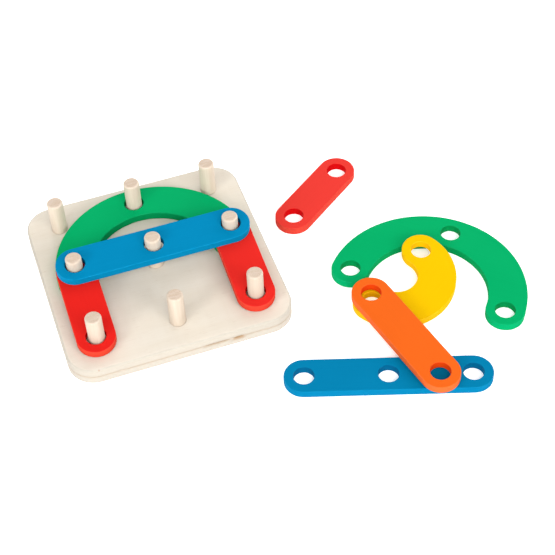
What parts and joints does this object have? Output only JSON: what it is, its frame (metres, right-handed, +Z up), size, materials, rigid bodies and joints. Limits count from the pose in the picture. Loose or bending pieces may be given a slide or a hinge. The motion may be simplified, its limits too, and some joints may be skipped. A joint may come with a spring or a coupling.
{
  "type": "letter and number pegboard set",
  "caption": "Square wooden board with a grid of fixed round pegs and flat painted bars and half rings with holes, which are threaded onto the pegs to draw letters and numbers.",
  "frame": {"origin": "centre of the board's underside, on the table", "axes": "+X along the peg rows to the right, +Y to the back of the board, +Z up along the pegs"},
  "size_m": [0.2853, 0.2256, 0.0357],
  "materials": {
    "board_wood": "sanded plywood, clear matt lacquer",
    "peg_wood": "sanded dowel, unpainted",
    "green_paint": "satin opaque paint",
    "red_paint": "satin opaque paint",
    "blue_paint": "satin opaque paint",
    "yellow_paint": "satin opaque paint",
    "orange_paint": "satin opaque paint"
  },
  "bodies": {
    "board": {"board_upper_panel": "board_wood", "board_lower_panel": "board_wood", "peg_front_left": "peg_wood", "peg_front_middle": "peg_wood", "peg_front_right": "peg_wood", "peg_middle_left": "peg_wood", "peg_middle_middle": "peg_wood", "peg_middle_right": "peg_wood", "peg_back_left": "peg_wood", "peg_back_middle": "peg_wood", "peg_back_right": "peg_wood"},
    "green_ring": {"large_half_ring_green": "green_paint"},
    "left_red_bar": {"short_bar_red_left": "red_paint"},
    "right_red_bar": {"short_bar_red_right": "red_paint"},
    "blue_bar": {"long_bar_blue": "blue_paint"},
    "loose_red_bar": {"loose_short_bar_red": "red_paint"},
    "loose_green_ring": {"loose_large_half_ring_green": "green_paint"},
    "loose_blue_bar": {"loose_long_bar_blue": "blue_paint"},
    "loose_yellow_ring": {"loose_small_half_ring_yellow": "yellow_paint"},
    "loose_orange_bar": {"loose_diagonal_bar_orange": "orange_paint"}
  },
  "joints": [
    {"name": "lift_green_ring", "type": "slide", "parent": "board", "child": "green_ring", "axis": [0, 0, 1], "range_m": [0, 0.03]},
    {"name": "lift_left_red_bar", "type": "slide", "parent": "green_ring", "child": "left_red_bar", "axis": [0, 0, 1], "range_m": [0, 0.03]},
    {"name": "lift_right_red_bar", "type": "slide", "parent": "left_red_bar", "child": "right_red_bar", "axis": [0, 0, 1], "range_m": [0, 0.03]},
    {"name": "lift_blue_bar", "type": "slide", "parent": "right_red_bar", "child": "blue_bar", "axis": [0, 0, 1], "range_m": [0, 0.03]},
    {"name": "lift_loose_red_bar", "type": "slide", "parent": "board", "child": "loose_red_bar", "axis": [0, 0, 1], "range_m": [0, 0.03]},
    {"name": "lift_loose_green_ring", "type": "slide", "parent": "board", "child": "loose_green_ring", "axis": [0, 0, 1], "range_m": [0, 0.03]},
    {"name": "lift_loose_yellow_ring", "type": "slide", "parent": "loose_green_ring", "child": "loose_yellow_ring", "axis": [0, 0, 1], "range_m": [0, 0.03]},
    {"name": "lift_loose_orange_bar", "type": "slide", "parent": "loose_yellow_ring", "child": "loose_orange_bar", "axis": [0, 0, 1], "range_m": [0, 0.03]},
    {"name": "slide_loose_blue_bar", "type": "slide", "parent": "board", "child": "loose_blue_bar", "axis": [-0.3156, -0.9489, 0], "range_m": [0, 0.06]}
  ]
}
